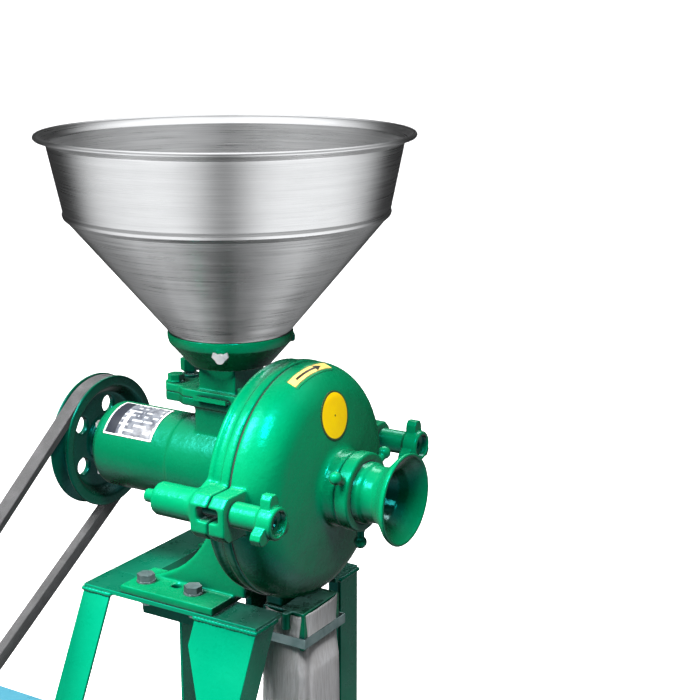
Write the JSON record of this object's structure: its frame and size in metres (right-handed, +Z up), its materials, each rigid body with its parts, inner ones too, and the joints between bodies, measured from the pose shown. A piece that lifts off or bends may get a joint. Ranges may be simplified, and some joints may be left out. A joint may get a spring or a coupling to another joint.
{
  "type": "grain mill",
  "caption": "Belt-driven grain mill: steel hopper, feed housing, round milling chamber with clamped cover and trumpet outlet, on an angle-iron stand with its motor.",
  "frame": {"origin": "on the floor, midway between the four anchor holes of the stand", "axes": "+X along the mill shaft towards the bran outlet, +Y towards the rear legs, +Z up"},
  "size_m": [0.398, 0.618, 0.936],
  "materials": {
    "green_casting": "glossy hammered enamel over iron casting",
    "green_stand": "glossy enamel over rolled steel",
    "stainless": "spun and brushed stainless sheet",
    "zinc_plated": "bright zinc plate",
    "machined_steel": "turned steel",
    "grinding_iron": "chilled iron, ground",
    "bearing_steel": "polished",
    "belt_rubber": "dull, fabric wrapped",
    "gasket_fibre": "dull fibre",
    "sleeve_cloth": "undyed cotton",
    "name_plate": "printed plate",
    "yellow_label": "glossy film",
    "motor_paint": "semi-gloss enamel",
    "motor_core": "laminated steel",
    "fan_plastic": "matt"
  },
  "bodies": {
    "stand": {"bearing_cap": "green_casting", "bearing_outer_races": "bearing_steel", "cap_screws": "zinc_plated", "closing_studs": "zinc_plated", "cover_gasket": "gasket_fibre", "drive_belt": "belt_rubber", "feed_funnel": "green_casting", "flour_sleeve": "sleeve_cloth", "flour_spout": "green_casting", "foot_bolts": "zinc_plated", "foot_plates": "green_stand", "frame_rail_front": "green_stand", "frame_rail_left": "green_stand", "frame_rail_rear": "green_stand", "funnel_bolts": "green_casting", "housing_screws": "zinc_plated", "leg_braces": "green_stand", "leg_front_left": "green_stand", "leg_front_right": "green_stand", "leg_rear_left": "green_stand", "leg_rear_right": "green_stand", "motor_bars": "green_stand", "motor_bolts": "zinc_plated", "motor_end_bells": "motor_paint", "motor_fan_cover": "motor_paint", "motor_frame": "motor_paint", "motor_plate": "green_stand", "motor_stator": "motor_core", "motor_struts": "green_stand", "nameplate": "name_plate", "rear_casing": "green_casting", "ring_screen": "machined_steel", "shaft_housing": "green_casting", "shaft_seal": "gasket_fibre", "sleeve_band": "zinc_plated", "stationary_burr": "grinding_iron", "terminal_box": "motor_paint"},
    "hopper": {"hopper": "stainless"},
    "feed_gate": {"feed_gate": "green_casting"},
    "wing_screw": {"hopper_wing_screw": "zinc_plated"},
    "rotor": {"main_shaft": "machined_steel", "mill_pulley": "green_casting", "mill_pulley_key": "machined_steel", "mill_pulley_nut": "zinc_plated", "bearing_inner_races": "bearing_steel", "bearing_balls": "bearing_steel", "feed_auger": "machined_steel", "moving_burr": "grinding_iron", "beater_wheel": "machined_steel"},
    "cover": {"front_cover": "green_casting", "round_badge": "yellow_label", "direction_plate": "yellow_label"},
    "star_nut_front": {"star_nut_front": "green_casting"},
    "star_nut_rear": {"star_nut_rear": "green_casting"},
    "outlet_sleeve": {"outlet_sleeve": "machined_steel"},
    "outlet_trumpet": {"outlet_trumpet": "green_casting"},
    "lock_ring": {"lock_ring": "green_casting"},
    "motor_rotor": {"motor_shaft": "motor_core", "motor_fan": "fan_plastic", "motor_pulley": "motor_paint"}
  },
  "joints": [
    {"name": "rotor_spin", "type": "hinge", "parent": "stand", "child": "rotor", "pos_m": [0.0945, 0.117, 0.601], "axis": [1, 0, 0], "continuous": true},
    {"name": "motor_spin", "type": "hinge", "parent": "stand", "child": "motor_rotor", "pos_m": [-0.1535, -0.227, 0.36], "axis": [1, 0, 0], "continuous": true},
    {"name": "cover_slide", "type": "slide", "parent": "stand", "child": "cover", "axis": [1, 0, 0], "range_m": [0, 0.25]},
    {"name": "star_nut_front_spin", "type": "hinge", "parent": "cover", "child": "star_nut_front", "pos_m": [0.0945, -0.015, 0.609], "axis": [1, 0, 0], "continuous": true},
    {"name": "star_nut_rear_spin", "type": "hinge", "parent": "cover", "child": "star_nut_rear", "pos_m": [0.0945, 0.249, 0.609], "axis": [1, 0, 0], "continuous": true},
    {"name": "outlet_slide", "type": "slide", "parent": "cover", "child": "outlet_sleeve", "axis": [1, 0, 0], "range_m": [-0.002, 0.004]},
    {"name": "trumpet_spin", "type": "hinge", "parent": "outlet_sleeve", "child": "outlet_trumpet", "pos_m": [0.0945, 0.117, 0.601], "axis": [1, 0, 0], "range_deg": [-180, 360]},
    {"name": "lock_ring_turn", "type": "hinge", "parent": "cover", "child": "lock_ring", "pos_m": [0.0945, 0.117, 0.601], "axis": [1, 0, 0], "range_deg": [0, 60]},
    {"name": "hopper_lift", "type": "slide", "parent": "stand", "child": "hopper", "axis": [0, 0, 1], "range_m": [0, 0.15]},
    {"name": "gate_slide", "type": "slide", "parent": "stand", "child": "feed_gate", "axis": [0, -1, 0], "range_m": [0, 0.046]},
    {"name": "wing_screw_spin", "type": "hinge", "parent": "stand", "child": "wing_screw", "pos_m": [0.04374, 0.06354, 0.728], "axis": [0.454, -0.891, 0], "continuous": true}
  ],
  "couplings": [
    {"joint": "motor_spin", "follows": "rotor_spin", "ratio": 1.4651},
    {"joint": "outlet_slide", "follows": "trumpet_spin", "m_per_rad": 0.00063662}
  ]
}
